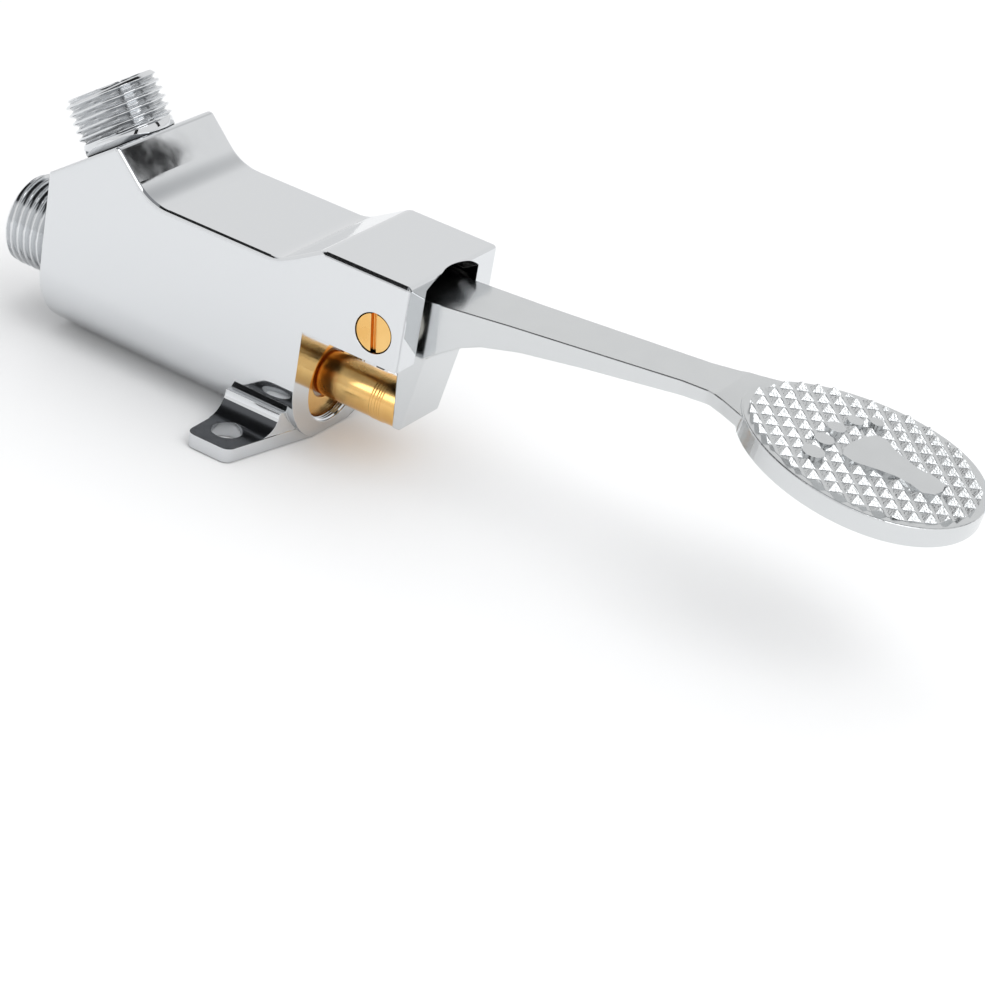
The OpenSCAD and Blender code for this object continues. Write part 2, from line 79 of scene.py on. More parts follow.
def startMaterial(name, shader):
    material = bpy.data.materials.new(name)
    material.use_nodes = True
    tree = material.node_tree
    tree.nodes.clear()
    surface = addNode(tree, "ShaderNodeBsdfPrincipled", shader)
    addNode(tree, "ShaderNodeOutputMaterial", None, {"Surface": surface.outputs["BSDF"]})
    place = addNode(tree, "ShaderNodeTexCoord")
    return material, tree, surface, place.outputs["Object"]


# Painted shade: recesses take the shade colour, open faces the plain one
def paintRecessShade(tree, surface, look, place, plain=None):
    openness = addNode(tree, "ShaderNodeAmbientOcclusion",
                       {"samples": 8, "Distance": look["shadeReach"] * mm})
    share = addNode(tree, "ShaderNodeMapRange",
                    {"interpolation_type": "SMOOTHSTEP", "From Min": look["shadeStops"][0],
                     "From Max": look["shadeStops"][1]},
                    {"Value": openness.outputs["AO"]})
    if "shadeLiftBelow" in look:
        axes = addNode(tree, "ShaderNodeSeparateXYZ", None, {"Vector": place})
        low = addNode(tree, "ShaderNodeMath",
                      {"operation": "LESS_THAN", 1: look["shadeLiftBelow"] * mm}, {0: axes.outputs["Z"]})
        lifted = addNode(tree, "ShaderNodeMath",
                        {"operation": "MULTIPLY", 1: look["shadeLiftShare"]}, {0: low})
        share = addNode(tree, "ShaderNodeMath", {"operation": "MAXIMUM"}, {0: share, 1: lifted})
    tint = addNode(tree, "ShaderNodeMix",
                   {"data_type": "RGBA", mixFrom: hexToLinear(look["shade"]),
                    mixTo: hexToLinear(look["colour"])},
                   {"Factor": share, mixTo: plain} if plain else {"Factor": share})
    tree.links.new(tint.outputs[mixOut], surface.inputs["Base Color"])


# Polished chrome plate on a buffed casting: a mirror, faintly wavy from the buffing wheel, with
# painted shade in its recesses and a painted dark reflection on the ears' tops
chromePlate = {
    "colour": "#dddfe1",
    "roughLow": 0.045,
    "roughHigh": 0.11,
    "hazeSize": 3.5,      # mm, patches of haze in the plate
    "hazeStops": (0.3, 0.75),
    "waveSize": 9.0,      # mm, one swell of the buffed surface
    "waveHeight": 0.02,   # mm
    "shade": "#1a1b1d",   # painted shade in recesses
    "shadeReach": 9.0,    # mm
    "shadeStops": (0.22, 0.7),
    "threadStops": (0.12, 0.55),   # the threads get less of the painted shade
    "shadeLiftBelow": 29.0,   # mm, below this height most of the painted shade is lifted
    "shadeLiftShare": 0.8,
    "earTopFrom": 17.0,     # mm from the middle, the ears' tops: a painted dark reflection, and a duller plate that no buffing wheel reaches
    "earTopSlope": 0.3,
    "earPaintedReflection": "#55575a",
    "earTopRough": 0.24,
}


def makeChromePlate(name, look):
    material, tree, surface, place = startMaterial(name, {"Metallic": 1.0})
    axes = addNode(tree, "ShaderNodeSeparateXYZ", None, {"Vector": place})
    facing = addNode(tree, "ShaderNodeSeparateXYZ", None, {"Vector": place.node.outputs["Normal"]})
    across = addNode(tree, "ShaderNodeMath", {"operation": "ABSOLUTE"}, {0: axes.outputs["Y"]})
    beside = addNode(tree, "ShaderNodeMath",
                     {"operation": "GREATER_THAN", 1: look["earTopFrom"] * mm}, {0: across})
    upward = addNode(tree, "ShaderNodeMath",
                     {"operation": "GREATER_THAN", 1: look["earTopSlope"]}, {0: facing.outputs["Z"]})
    onEar = addNode(tree, "ShaderNodeMath", {"operation": "MULTIPLY"}, {0: beside, 1: upward})
    # Painted dark reflection on the ears' tops
    plate = addNode(tree, "ShaderNodeMix",
                    {"data_type": "RGBA", mixFrom: hexToLinear(look["colour"]),
                     mixTo: hexToLinear(look["earPaintedReflection"])},
                    {"Factor": onEar})
    # Painted shade in the recesses, mostly lifted below a set height
    paintRecessShade(tree, surface, look, place, plate.outputs[mixOut])
    haze = addNode(tree, "ShaderNodeTexNoise",
                   {"Scale": 1 / (look["hazeSize"] * mm), "Detail": 4.0}, {"Vector": place})
    polish = addNode(tree, "ShaderNodeMapRange",
                     {"From Min": look["hazeStops"][0], "From Max": look["hazeStops"][1],
                      "To Min": look["roughLow"], "To Max": look["roughHigh"]},
                     {"Value": haze.outputs["Fac"]})
    dull = addNode(tree, "ShaderNodeMath",
                   {"operation": "MULTIPLY", 1: look["earTopRough"]}, {0: onEar})
    rough = addNode(tree, "ShaderNodeMath", {"operation": "MAXIMUM"}, {0: polish, 1: dull})
    tree.links.new(rough.outputs["Value"], surface.inputs["Roughness"])
    wave = addNode(tree, "ShaderNodeTexNoise",
                   {"Scale": 1 / (look["waveSize"] * mm), "Detail": 1.0}, {"Vector": place})
    bump = addNode(tree, "ShaderNodeBump",
                   {"Strength": 0.5, "Distance": look["waveHeight"] * mm},
                   {"Height": wave.outputs["Fac"]})
    tree.links.new(bump.outputs["Normal"], surface.inputs["Normal"])
    return material


# Satin chrome plate on a tumbled casting: soft wide highlights, cast skin on the tread's flanks, and
# painted shade in its tightest crevices
satinPlate = {
    "colour": "#d4d6d7",
    "roughLow": 0.17,
    "roughHigh": 0.24,
    "hazeSize": 5.0,       # mm
    "hazeStops": (0.3, 0.7),
    "grainSize": 6.0,      # mm, the slow swell a tumbled casting keeps
    "grainHeight": 0.015,  # mm
    "skinSize": 0.5,       # mm
    "skinHeight": 0.12,    # mm
    "skinFrom": 104.0,     # mm, where the pad begins
    "skinSlope": 0.65,     # cosine of a flank's angle to the pad
    "skinSpread": 0.25,    # either way of that cosine
    "padDrop": 7.2,        # degrees
    # painted shade in the tightest crevices
    "shade": "#46484a",
    "shadeReach": 2.0,     # mm
    "shadeStops": (0.1, 0.4),
}


def makeSatinPlate(name, look):
    material, tree, surface, place = startMaterial(name, {"Metallic": 1.0})
    # Painted shade in the tightest crevices
    paintRecessShade(tree, surface, look, place)
    haze = addNode(tree, "ShaderNodeTexNoise",
                   {"Scale": 1 / (look["hazeSize"] * mm), "Detail": 5.0}, {"Vector": place})
    rough = addNode(tree, "ShaderNodeMapRange",
                    {"From Min": look["hazeStops"][0], "From Max": look["hazeStops"][1],
                     "To Min": look["roughLow"], "To Max": look["roughHigh"]},
                    {"Value": haze.outputs["Fac"]})
    tree.links.new(rough.outputs["Result"], surface.inputs["Roughness"])
    grain = addNode(tree, "ShaderNodeTexNoise",
                    {"Scale": 1 / (look["grainSize"] * mm), "Detail": 1.0}, {"Vector": place})
    skin = addNode(tree, "ShaderNodeTexNoise",
                   {"Scale": 1 / (look["skinSize"] * mm), "Detail": 3.0}, {"Vector": place})
    drop = math.radians(look["padDrop"])
    facing = addNode(tree, "ShaderNodeVectorMath",
                     {"operation": "DOT_PRODUCT", 1: (math.sin(drop), 0.0, math.cos(drop))},
                     {0: place.node.outputs["Normal"]})
    leaning = addNode(tree, "ShaderNodeMath",
                      {"operation": "COMPARE", 1: look["skinSlope"], 2: look["skinSpread"]},
                      {0: facing.outputs["Value"]})
    axes = addNode(tree, "ShaderNodeSeparateXYZ", None, {"Vector": place})
    onPad = addNode(tree, "ShaderNodeMath",
                    {"operation": "GREATER_THAN", 1: look["skinFrom"] * mm}, {0: axes.outputs["X"]})
    flank = addNode(tree, "ShaderNodeMath", {"operation": "MULTIPLY"}, {0: leaning, 1: onPad})
    pits = addNode(tree, "ShaderNodeMath",
                   {"operation": "MULTIPLY"}, {0: skin.outputs["Fac"], 1: flank})
    relief = addNode(tree, "ShaderNodeMath",
                     {"operation": "MULTIPLY_ADD", 1: look["skinHeight"] / look["grainHeight"]},
                     {0: pits, 2: grain.outputs["Fac"]})
    bump = addNode(tree, "ShaderNodeBump",
                   {"Strength": 0.6, "Distance": look["grainHeight"] * mm}, {"Height": relief})
    tree.links.new(bump.outputs["Normal"], surface.inputs["Normal"])
    return material


# Turned brass: warm yellow metal with fine tool rings, slight tarnish, and painted warm shade in its
# recesses
turnedBrass = {
    "colour": "#f8d390",
    "tarnish": "#e4ab5a",
    "patchSize": 6.0,     # mm
    "patchStops": (0.3, 0.7),
    "ringPitch": 0.45,    # mm, coarser than the real feed marks so that they show
    "ringHeight": 0.006,  # mm
    "bandLength": 0.314,  # one band of a wave texture at scale 1
    "roughLow": 0.14,
    "roughHigh": 0.3,
    "shade": "#dd9642",   # painted warm shade in recesses and under the head
    "shadeReach": 6.0,    # mm
    "shadeStops": (0.15, 0.75),
}


def makeTurnedBrass(name, look, axis):
    material, tree, surface, place = startMaterial(name, {"Metallic": 1.0})
    patch = addNode(tree, "ShaderNodeTexNoise",
                    {"Scale": 1 / (look["patchSize"] * mm), "Detail": 5.0}, {"Vector": place})
    tint = addNode(tree, "ShaderNodeMix",
                   {"data_type": "RGBA", mixFrom: hexToLinear(look["colour"]),
                    mixTo: hexToLinear(look["tarnish"])},
                   {"Factor": patch.outputs["Fac"]})
    # Painted warm shade in the recesses
    paintRecessShade(tree, surface, look, place, tint.outputs[mixOut])
    rough = addNode(tree, "ShaderNodeMapRange",
                    {"From Min": look["patchStops"][0], "From Max": look["patchStops"][1],
                     "To Min": look["roughLow"], "To Max": look["roughHigh"]},
                    {"Value": patch.outputs["Fac"]})
    tree.links.new(rough.outputs["Result"], surface.inputs["Roughness"])
    rings = addNode(tree, "ShaderNodeTexWave",
                    {"wave_type": "BANDS", "bands_direction": axis,
                     "Scale": look["bandLength"] / (look["ringPitch"] * mm),
                     "Distortion": 0.4, "Detail": 1.0},
                    {"Vector": place})
    bump = addNode(tree, "ShaderNodeBump",
                   {"Strength": 0.5, "Distance": look["ringHeight"] * mm},
                   {"Height": rings.outputs["Fac"]})
    tree.links.new(bump.outputs["Normal"], surface.inputs["Normal"])
    return material


# Moulded rubber, machined plastic and drawn wire: dull hidden pieces, finely mottled, sizes in mm
dullLooks = {
    "mouldedRubber": {"colour": "#1b1b1c", "light": "#2a2a2b", "metal": 0.0, "roughness": 0.62,
                      "mottleSize": 1.2, "mottleHeight": 0.01},
    "machinedPtfe": {"colour": "#dcd8cc", "light": "#efece4", "metal": 0.0, "roughness": 0.45,
                     "mottleSize": 1.6, "mottleHeight": 0.01},
    "drawnSpringWire": {"colour": "#8f9295", "light": "#a9acaf", "metal": 1.0, "roughness": 0.32,
                        "mottleSize": 0.8, "mottleHeight": 0.01},
}


def makeDull(name, look):
    shader = {"Metallic": look["metal"], "Roughness": look["roughness"]}
    material, tree, surface, place = startMaterial(name, shader)
    mottle = addNode(tree, "ShaderNodeTexNoise",
                     {"Scale": 1 / (look["mottleSize"] * mm), "Detail": 4.0}, {"Vector": place})
    tint = addNode(tree, "ShaderNodeMix",
                   {"data_type": "RGBA", mixFrom: hexToLinear(look["colour"]),
                    mixTo: hexToLinear(look["light"])},
                   {"Factor": mottle.outputs["Fac"]})
    tree.links.new(tint.outputs[mixOut], surface.inputs["Base Color"])
    bump = addNode(tree, "ShaderNodeBump",
                   {"Strength": 0.4, "Distance": look["mottleHeight"] * mm},
                   {"Height": mottle.outputs["Fac"]})
    tree.links.new(bump.outputs["Normal"], surface.inputs["Normal"])
    return material


threadPlate = {**chromePlate, "shadeStops": chromePlate["threadStops"]}
finishes = {
    "polishedChrome": makeChromePlate("polishedChrome", chromePlate),
    "threadChrome": makeChromePlate("threadChrome", threadPlate),
    "satinChrome": makeSatinPlate("satinChrome", satinPlate),
    "turnedBrassX": makeTurnedBrass("turnedBrassAlongX", turnedBrass, "X"),
    "turnedBrassY": makeTurnedBrass("turnedBrassAlongY", turnedBrass, "Y"),
}
for dullName, dullLook in dullLooks.items():
    finishes[dullName] = makeDull(dullName, dullLook)
print("finishes made:", len(finishes))


# Finish and edge softening of each CAD node: the bevel in mm, its least angle in degrees
nodeLooks = {
    "valve_body": {"finish": "polishedChrome", "bevel": 0.9, "angle": 25, "segments": 4},
    "pedal_lever": {"finish": "satinChrome", "bevel": 0.3, "angle": 22, "segments": 3},
    "pivot_screw": {"finish": "turnedBrassY", "bevel": 0.2, "angle": 30, "segments": 2},
    "bonnet_nut": {"finish": "turnedBrassX", "bevel": 0.2, "angle": 30, "segments": 2},
    "plunger": {"finish": "turnedBrassX", "bevel": 0.25, "angle": 30, "segments": 3},
    "seat_bush": {"finish": "turnedBrassX"},
    "valve_stem": {"finish": "turnedBrassX"},
    "spring_collar": {"finish": "turnedBrassX"},
    "disc_holder": {"finish": "turnedBrassX"},
    "disc_nut": {"finish": "turnedBrassX"},
    "pivot_bush": {"finish": "turnedBrassY"},
    "inlet_o_ring": {"finish": "mouldedRubber"},
    "outlet_o_ring": {"finish": "mouldedRubber"},
    "seat_o_ring": {"finish": "mouldedRubber"},
    "bonnet_gasket": {"finish": "mouldedRubber"},
    "stem_seal": {"finish": "mouldedRubber"},
    "disc_washer": {"finish": "mouldedRubber"},
    "wiper_ring": {"finish": "machinedPtfe"},
    "thrust_washer_near": {"finish": "machinedPtfe"},
    "thrust_washer_far": {"finish": "machinedPtfe"},
    "return_spring": {"finish": "drawnSpringWire"},
    "disc_lock_washer": {"finish": "drawnSpringWire"},
    "inlet_nipple": {"finish": "polishedChrome"},
    "outlet_nipple": {"finish": "polishedChrome"},
}
meshClean = {"weld": 0.002, "flat": 0.6}   # mm and degrees, before an edge is softened


# The share of its bevel that an edge keeps, in mm: each zone is painted over the ones before it
far = 999.0
pivotHole = {"middle": (27.2, 0.0, 34.8), "turn": (90.0, 0.0, 0.0), "egg": 0.0, "reach": 1.0,
             "above": -far}
edgeZones = {
    "valve_body": {
        "elsewhere": 0.12,
        "zones": [
            {"keep": 1.0, "low": (-far, -far, 29.0), "high": (far, far, far)},       # upper half
            {"keep": 1.0, "low": (-far, -far, -far), "high": (-8.0, far, far)},      # rear half
            {"keep": 0.12, "low": (14.0, -10.2, -far), "high": (far, 10.2, far)},    # pedal's slot
            {"keep": 0.12, **pivotHole, "half": (6.0, 6.0)},                         # screw's hole
        ],
    },
    "pedal_lever": {
        "elsewhere": 1.0,
        "zones": [
            {"keep": 0.1, **pivotHole, "half": (9.5, 9.5)},                          # boss
            {"keep": 0.0, "middle": (129.4, 0.0, 45.2), "turn": (0.0, -7.2, 0.0), "egg": 0.1,
             "reach": math.sqrt(0.94), "above": -0.02, "half": (26.0, 21.2)},        # tread
        ],
    },
}
crispBelow = 0.01   # an edge that keeps less than this stays sharp


def inBox(tree, place, zone):
    eachAxis = {"data_type": "VECTOR", "mode": "ELEMENT"}
    first, second = 4, 5   # the vector sockets of a Compare node
    past = addNode(tree, "FunctionNodeCompare",
                   {**eachAxis, "operation": "GREATER_THAN", second: Vector(zone["low"]) * mm},
                   {first: place})
    short = addNode(tree, "FunctionNodeCompare",
                    {**eachAxis, "operation": "LESS_THAN", second: Vector(zone["high"]) * mm},
                    {first: place})
    return addNode(tree, "ShaderNodeMath", {"operation": "MULTIPLY"}, {0: past, 1: short})


# Inside an egg-shaped ring round the zone's own upright axis, and above its foot
def inRing(tree, place, zone):
    moved = addNode(tree, "ShaderNodeVectorMath",
                    {"operation": "SUBTRACT", 1: Vector(zone["middle"]) * mm}, {0: place})
    level = addNode(tree, "ShaderNodeVectorRotate",
                    {"rotation_type": "EULER_XYZ",
                     "Rotation": [math.radians(a) for a in zone["turn"]]},
                    {"Vector": moved})
    shares = addNode(tree, "ShaderNodeVectorMath",
                     {"operation": "DIVIDE", 1: Vector((*zone["half"], 1.0)) * mm}, {0: level})
    axes = addNode(tree, "ShaderNodeSeparateXYZ", None, {"Vector": shares}).outputs
    widening = addNode(tree, "ShaderNodeMath",
                       {"operation": "MULTIPLY_ADD", 1: zone["egg"], 2: 1.0}, {0: axes["X"]})
    across = addNode(tree, "ShaderNodeMath", {"operation": "DIVIDE"}, {0: axes["Y"], 1: widening})
    spot = addNode(tree, "ShaderNodeCombineXYZ", None, {"X": axes["X"], "Y": across})
    reach = addNode(tree, "ShaderNodeVectorMath", {"operation": "LENGTH"}, {0: spot})
    near = addNode(tree, "ShaderNodeMath",
                   {"operation": "LESS_THAN", 1: zone["reach"]}, {0: reach.outputs["Value"]})
    above = addNode(tree, "ShaderNodeMath",
                    {"operation": "GREATER_THAN", 1: zone["above"]}, {0: axes["Z"]})
    return addNode(tree, "ShaderNodeMath", {"operation": "MULTIPLY"}, {0: near, 1: above})


def weighEdges(piece, angle, edges):
    tree = bpy.data.node_groups.new(piece.name + "EdgeWeights", "GeometryNodeTree")
    for way in ("INPUT", "OUTPUT"):
        tree.interface.new_socket("Geometry", in_out=way, socket_type="NodeSocketGeometry")
    given = addNode(tree, "NodeGroupInput")
    place = addNode(tree, "GeometryNodeInputPosition")
    share = None
    for zone in edges["zones"]:
        inside = inBox(tree, place, zone) if "low" in zone else inRing(tree, place, zone)
        share = addNode(tree, "GeometryNodeSwitch",
                        {"input_type": "FLOAT", "False": edges["elsewhere"], "True": zone["keep"]},
                        {"Switch": inside, "False": share} if share else {"Switch": inside})
    fold = addNode(tree, "GeometryNodeInputMeshEdgeAngle")
    sharp = addNode(tree, "ShaderNodeMath",
                    {"operation": "GREATER_THAN", 1: math.radians(angle)},
                    {0: fold.outputs["Unsigned Angle"]})
    weight = addNode(tree, "ShaderNodeMath", {"operation": "MULTIPLY"}, {0: sharp, 1: share})
    bare = addNode(tree, "ShaderNodeMath", {"operation": "LESS_THAN", 1: crispBelow}, {0: share})
    crisp = addNode(tree, "ShaderNodeMath", {"operation": "MULTIPLY"}, {0: sharp, 1: bare})
    store = addNode(tree, "GeometryNodeStoreNamedAttribute",
                    {"data_type": "FLOAT", "domain": "EDGE", "Name": "bevel_weight_edge"},
                    {"Geometry": given, "Value": weight})
    keep = addNode(tree, "GeometryNodeStoreNamedAttribute",
                   {"data_type": "BOOLEAN", "domain": "EDGE", "Name": "sharp_edge"},
                   {"Geometry": store, "Value": crisp})
    addNode(tree, "NodeGroupOutput", None, {"Geometry": keep})
    piece.modifiers.new("weighEdges", "NODES").node_group = tree


def dressNode(name, look):
    piece = nodes[name]
    for slot in piece.material_slots:
        slot.material = finishes[look["finish"]]
    if "bevel" not in look:
        return
    weighed = name in edgeZones
    weld = piece.modifiers.new("weldSeams", "WELD")
    weld.merge_threshold = meshClean["weld"] * mm
    flat = piece.modifiers.new("joinFlats", "DECIMATE")
    flat.decimate_type = "DISSOLVE"
    flat.angle_limit = math.radians(meshClean["flat"])
    if weighed:
        weighEdges(piece, look["angle"], edgeZones[name])
    soft = piece.modifiers.new("softEdges", "BEVEL")
    soft.width = look["bevel"] * mm
    soft.segments = look["segments"]
    soft.limit_method = "WEIGHT" if weighed else "ANGLE"
    soft.angle_limit = math.radians(look["angle"])
    soft.use_clamp_overlap = not weighed
    soft.miter_outer = "MITER_ARC"
    even = piece.modifiers.new("evenNormals", "WEIGHTED_NORMAL")
    even.mode = "FACE_AREA"
    even.keep_sharp = weighed


for nodeName, nodeLook in nodeLooks.items():
    dressNode(nodeName, nodeLook)
print("nodes dressed:", len(nodeLooks))


# Pieces made here, from rows of points in mm

def addPiece(name, rows, closed, place, body, finish, smoothAngle):
    mesh = bpy.data.meshes.new(name)
    work = bmesh.new()
    grid = [[work.verts.new(place @ Vector(p)) for p in row] for row in rows]
    count = len(grid)
    around = len(grid[0])
    for i in range(count if closed else count - 1):
        low, high = grid[i], grid[(i + 1) % count]
        for j in range(around):
            k = (j + 1) % around
            work.faces.new((low[j], low[k], high[k], high[j]))
    if not closed:
        work.faces.new(grid[0])
        work.faces.new(grid[-1])
    bmesh.ops.recalc_face_normals(work, faces=work.faces)
    work.to_mesh(mesh)
    work.free()
    mesh.polygons.foreach_set("use_smooth", [True] * len(mesh.polygons))
    mesh.set_sharp_from_angle(angle=math.radians(smoothAngle))
    mesh.materials.append(finishes[finish])
    piece = bpy.data.objects.new(name, mesh)
    bpy.context.scene.collection.objects.link(piece)
    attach(piece, body)
    return piece


def anglesOf(steps):
    return [2 * math.pi * j / steps for j in range(steps)]


# Half inch pipe thread with a plain ring at its foot, in mm
pipeThread = {
    "outside": 20.955,
    "pitch": 1.814,
    "depth": 1.16,
    "valleyPower": 1.25,   # narrows the valleys
    "runOut": 0.9,         # where the ribs fade into the ring
    "leadIn": 1.1,         # cone at the mouth
    "ringDrop": 0.35,      # from the crests down to the ring
    "ringSeam": 0.05,      # from the last rib to the ring
    "ringChamfer": 0.25,
    "bore": 7.0,           # radius
    "boreChamfer": 0.5,
    "spigot": 8.6,         # radius
    "steps": 120,
    "rowsPerTurn": 12,
    "smoothAngle": 50,     # degrees
}
nipples = {
    "inletThread": {"node": "inlet_nipple", "at": (-58, 0, 17.9), "tilt": -90.0,
                    "ring": 0.8, "thread": 14.6, "spigotLength": 3.4},
    "outletThread": {"node": "outlet_nipple", "at": (-49.554, 0, 44.769), "tilt": -35.7,
                     "ring": 1.9, "thread": 10.8, "spigotLength": 8.0},
}


def threadRadius(cut, angle, height, low, high):
    outside = cut["outside"] / 2
    ring = outside - cut["ringDrop"]
    phase = (height / cut["pitch"] - angle / (2 * math.pi)) % 1.0
    valley = (0.5 + 0.5 * math.cos(2 * math.pi * phase)) ** cut["valleyPower"]
    fade = min(1.0, max(0.0, (height - low) / cut["runOut"]))
    radius = outside - cut["depth"] * (1 - (1 - valley) * fade)
    radius = ring + (radius - ring) * fade
    return min(radius, outside - max(0.0, height - (high - cut["leadIn"])))


def makeNipple(name, cut, spec):
    low = spec["ring"]
    high = spec["ring"] + spec["thread"]
    end = -spec["spigotLength"]
    ring = cut["outside"] / 2 - cut["ringDrop"]
    angles = anglesOf(cut["steps"])
    inner = [(cut["bore"], end), (cut["bore"], high - cut["boreChamfer"]),
             (cut["bore"] + cut["boreChamfer"], high)]
    outer = [(ring, low - cut["ringSeam"]), (ring, cut["ringChamfer"]),
             (ring - cut["ringChamfer"], 0.0), (cut["spigot"], 0.0), (cut["spigot"], end)]
    rowCount = int(spec["thread"] / cut["pitch"] * cut["rowsPerTurn"])
    heights = [high - spec["thread"] * i / rowCount for i in range(rowCount + 1)]
    profile = [[(r, h)] * len(angles) for r, h in inner]
    profile += [[(threadRadius(cut, a, h, low, high), h) for a in angles] for h in heights]
    profile += [[(r, h)] * len(angles) for r, h in outer]
    rows = [[(r * math.cos(a), r * math.sin(a), h) for a, (r, h) in zip(angles, row)]
            for row in profile]
    place = Matrix.Translation(Vector(spec["at"]) * mm)
    place = place @ Matrix.Rotation(math.radians(spec["tilt"]), 4, "Y") @ Matrix.Scale(mm, 4)
    piece = addPiece(name, rows, True, place, "valve", "threadChrome",
                     cut["smoothAngle"])
    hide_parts(spec["node"])


for nippleName, nippleSpec in nipples.items():
    makeNipple(nippleName, pipeThread, nippleSpec)
print("pipe threads cut:", len(nipples))


# Fine lines turned near the plunger's end, and the bore's last thread turns, in mm
boreHeight = 12.5   # of the bore's axis above the floor
turnedLines = {
    "plungerLines": {"body": "push_rod", "finish": "turnedBrassX", "slot": "turned_brass",
                     "radius": 4.97, "swell": 0.13, "sink": 0.05, "width": 0.36,
                     "xs": (22.2, 22.8, 23.6, 24.2, 24.8)},
    "boreThread": {"body": "valve", "finish": "polishedChrome", "slot": "polished_chrome",
                   "radius": 10.46, "swell": -0.42, "sink": -0.05, "width": 0.5,
                   "xs": (8.75, 9.35, 9.95)},
}
lineSteps = 96
lineSmoothAngle = 40   # degrees


def makeLines(name, spec):
    half, radius = spec["width"] / 2, spec["radius"]
    for index, x in enumerate(spec["xs"]):
        profile = [(x - half, radius), (x, radius + spec["swell"]), (x + half, radius),
                   (x, radius - spec["sink"])]
        rows = [[(px, r * math.sin(a), boreHeight + r * math.cos(a)) for px, r in profile]
                for a in anglesOf(lineSteps)]
        addPiece(name + str(index + 1), rows, True, Matrix.Scale(mm, 4), spec["body"],
                 spec["finish"], lineSmoothAngle)


for lineName, lineSpec in turnedLines.items():
    makeLines(lineName, lineSpec)
print("turned lines added:", len(turnedLines))


# Return spring of drawn wire, wound to the length of the CAD spring, in mm
returnSpring = {"wire": 1.2, "coil": 12.4, "turns": 6, "stepsPerTurn": 32, "sides": 12,
                "travel": 5.0, "smoothAngle": 60}


def makeSpring(spec):
    back, front = (corner[0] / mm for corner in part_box("return_spring"))
    wire = spec["wire"] / 2
    count = spec["turns"] * spec["stepsPerTurn"]
    rows = []
    for i in range(count + 1):
        a = 2 * math.pi * i / spec["stepsPerTurn"]
        x = back + wire + (front - back - 2 * wire) * i / count
        ring = [(x + wire * math.sin(b), spec["coil"] / 2 + wire * math.cos(b))
                for b in anglesOf(spec["sides"])]
        rows.append([(px, r * math.sin(a), boreHeight + r * math.cos(a)) for px, r in ring])
    piece = addPiece("returnCoil", rows, False, Matrix.Scale(mm, 4), "valve",
                     "drawnSpringWire", spec["smoothAngle"])
    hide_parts("return_spring")
    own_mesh(piece)


makeSpring(returnSpring)
print("return spring wound:", returnSpring["turns"], "turns")


# Camera at the photograph's view, fitted to the body's corners
shot = {
    "up": (-0.3798, 0.3293, 0.8645),
    "back": (0.4075, -0.7794, 0.4759),
    "at": (328.4, -528.6, 324.9),   # mm
    "lens": 119.2,
    "sensor": 36.0,
    "clip": (0.01, 20.0),           # m
}


def makeCamera(spec):
    data = bpy.data.cameras.new("photoCamera")
    data.sensor_fit = "HORIZONTAL"
    data.sensor_width = spec["sensor"]
    data.lens = spec["lens"]
    data.clip_start, data.clip_end = spec["clip"]
    camera = bpy.data.objects.new("photoCamera", data)
    back = Vector(spec["back"]).normalized()
    right = Vector(spec["up"]).cross(back).normalized()
    up = back.cross(right)
    turnTo = Matrix((right, up, back)).transposed().to_4x4()
    camera.matrix_world = Matrix.Translation(Vector(spec["at"]) * mm) @ turnTo
    bpy.context.scene.collection.objects.link(camera)
    bpy.context.scene.camera = camera


makeCamera(shot)
print("camera set:", shot["lens"], "mm lens")


# White floor, a sky that greys towards the top, soft lamps, and black flags that show only in the
# metal, lengths in m
studio = {
    "floor": {"colour": "#f6f6f6", "size": (6.0, 6.0), "segments": 8, "drop": 0.0002, "rough": 0.85},
    "sky": ((0.0, "#ffffff"), (0.56, "#ffffff"), (0.76, "#989a9d")),   # sine of the height, colour
    "skyStrength": 0.9,
    "lamps": {
        "topSoftbox": {"at": (0.15, 0.2, 1.2), "aim": (0.05, 0.0, 0.0), "size": (2.6, 2.2),
                       "watts": 17.0, "mirrored": False},
        "rightSoftbox": {"at": (0.68, -0.17, 0.92), "aim": (0.1, 0.0, 0.04), "size": (0.6, 0.6),
                         "watts": 2.2, "mirrored": True},
        "pedalSoftbox": {"at": (0.0, -0.35, 1.1), "aim": (0.1, 0.0, 0.04), "size": (1.5, 1.5),
                         "watts": 4.0, "mirrored": True,
                         "only": ("pedal_lever", "plunger", "bonnet_nut")},
        "brassStrip": {"at": (-0.33, -0.62, 0.43), "aim": (0.02, 0.0, 0.014), "size": (0.7, 0.34),
                       "watts": 1.5, "mirrored": True, "only": ("plunger", "bonnet_nut")},
    },
    "flagCloth": {"colour": "#0b0c0e", "segments": 2, "rough": 0.9},
    "flags": {
        "rightFlag": {"at": (0.72, -0.46, 0.42), "aim": (-0.05, 0.0, 0.05), "size": (0.16, 0.5)},
        "farFlag": {"at": (0.7, 0.52, 0.4), "aim": (-0.05, 0.0, 0.05), "size": (0.14, 0.5)},
        "edgeFlag": {"at": (-0.45, 0.0, 0.85), "aim": (-0.01, 0.0, 0.04), "size": (1.5, 0.4)},
        "neckFlag": {"at": (0.036, 0.138, 0.158), "aim": (-0.038, -0.011, 0.048),
                     "size": (0.012, 0.02)},
    },
}


def addSheet(name, size, look):
    work = bmesh.new()
    bmesh.ops.create_grid(work, x_segments=look["segments"], y_segments=look["segments"], size=0.5)
    bmesh.ops.scale(work, verts=work.verts, vec=(*size, 1.0))
    mesh = bpy.data.meshes.new(name)
    work.to_mesh(mesh)
    work.free()
    shader = {"Roughness": look["rough"], "Base Color": hexToLinear(look["colour"])}
    mesh.materials.append(startMaterial(name + "Sheet", shader)[0])
    sheet = bpy.data.objects.new(name, mesh)
    bpy.context.scene.collection.objects.link(sheet)
    return sheet


def aimFrom(at, aim):
    return (Vector(aim) - Vector(at)).to_track_quat("-Z", "Y").to_euler()


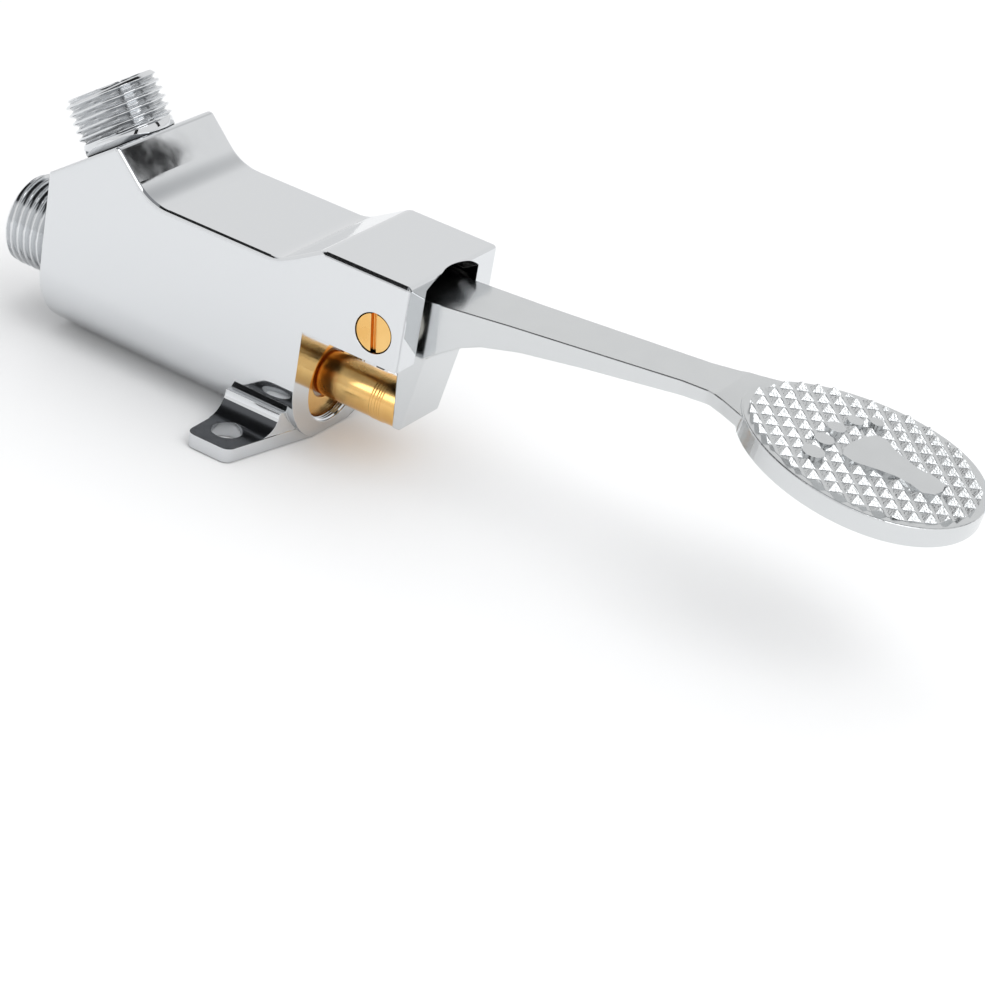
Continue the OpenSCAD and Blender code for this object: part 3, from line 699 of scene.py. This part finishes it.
def makeSheets(spec):
    floor = addSheet("studioFloor", spec["floor"]["size"], spec["floor"])
    floor.location = (0, 0, -spec["floor"]["drop"])
    for name, flagSpec in spec["flags"].items():
        flag = addSheet(name, flagSpec["size"], spec["flagCloth"])
        flag.location = flagSpec["at"]
        flag.rotation_euler = aimFrom(flagSpec["at"], flagSpec["aim"])
        flag.visible_camera = False
        flag.visible_diffuse = False
        flag.visible_shadow = False


def makeSky(spec):
    world = bpy.data.worlds.new("studioWorld")
    world.use_nodes = True
    tree = world.node_tree
    tree.nodes.clear()
    place = addNode(tree, "ShaderNodeTexCoord")
    axes = addNode(tree, "ShaderNodeSeparateXYZ", None, {"Vector": place.outputs["Generated"]})
    tint = addNode(tree, "ShaderNodeValToRGB", None, {"Fac": axes.outputs["Z"]})
    tint.color_ramp.interpolation = "EASE"
    stops = tint.color_ramp.elements
    while len(stops) < len(spec["sky"]):
        stops.new(0.5)
    for stop, (height, colour) in zip(stops, spec["sky"]):
        stop.position = height
        stop.color = hexToLinear(colour)
    sky = addNode(tree, "ShaderNodeBackground",
                  {"Strength": spec["skyStrength"]}, {"Color": tint.outputs["Color"]})
    addNode(tree, "ShaderNodeOutputWorld", None, {"Surface": sky.outputs["Background"]})
    bpy.context.scene.world = world


def makeLamp(name, lamp):
    data = bpy.data.lights.new(name, "AREA")
    data.shape = "RECTANGLE"
    data.size, data.size_y = lamp["size"]
    data.energy = lamp["watts"]
    light = bpy.data.objects.new(name, data)
    light.location = lamp["at"]
    light.rotation_euler = aimFrom(lamp["at"], lamp["aim"])
    light.visible_glossy = lamp["mirrored"]
    bpy.context.scene.collection.objects.link(light)
    if "only" in lamp:
        lit = bpy.data.collections.new(name + "Lit")
        for nodeName in lamp["only"]:
            lit.objects.link(nodes[nodeName])
        light.light_linking.receiver_collection = lit


makeSheets(studio)
makeSky(studio)
for lampName, lampSpec in studio["lamps"].items():
    makeLamp(lampName, lampSpec)
bpy.context.scene.view_settings.view_transform = "Standard"
print("studio lit:", len(studio["lamps"]), "lamps")

bpy.context.view_layer.update()
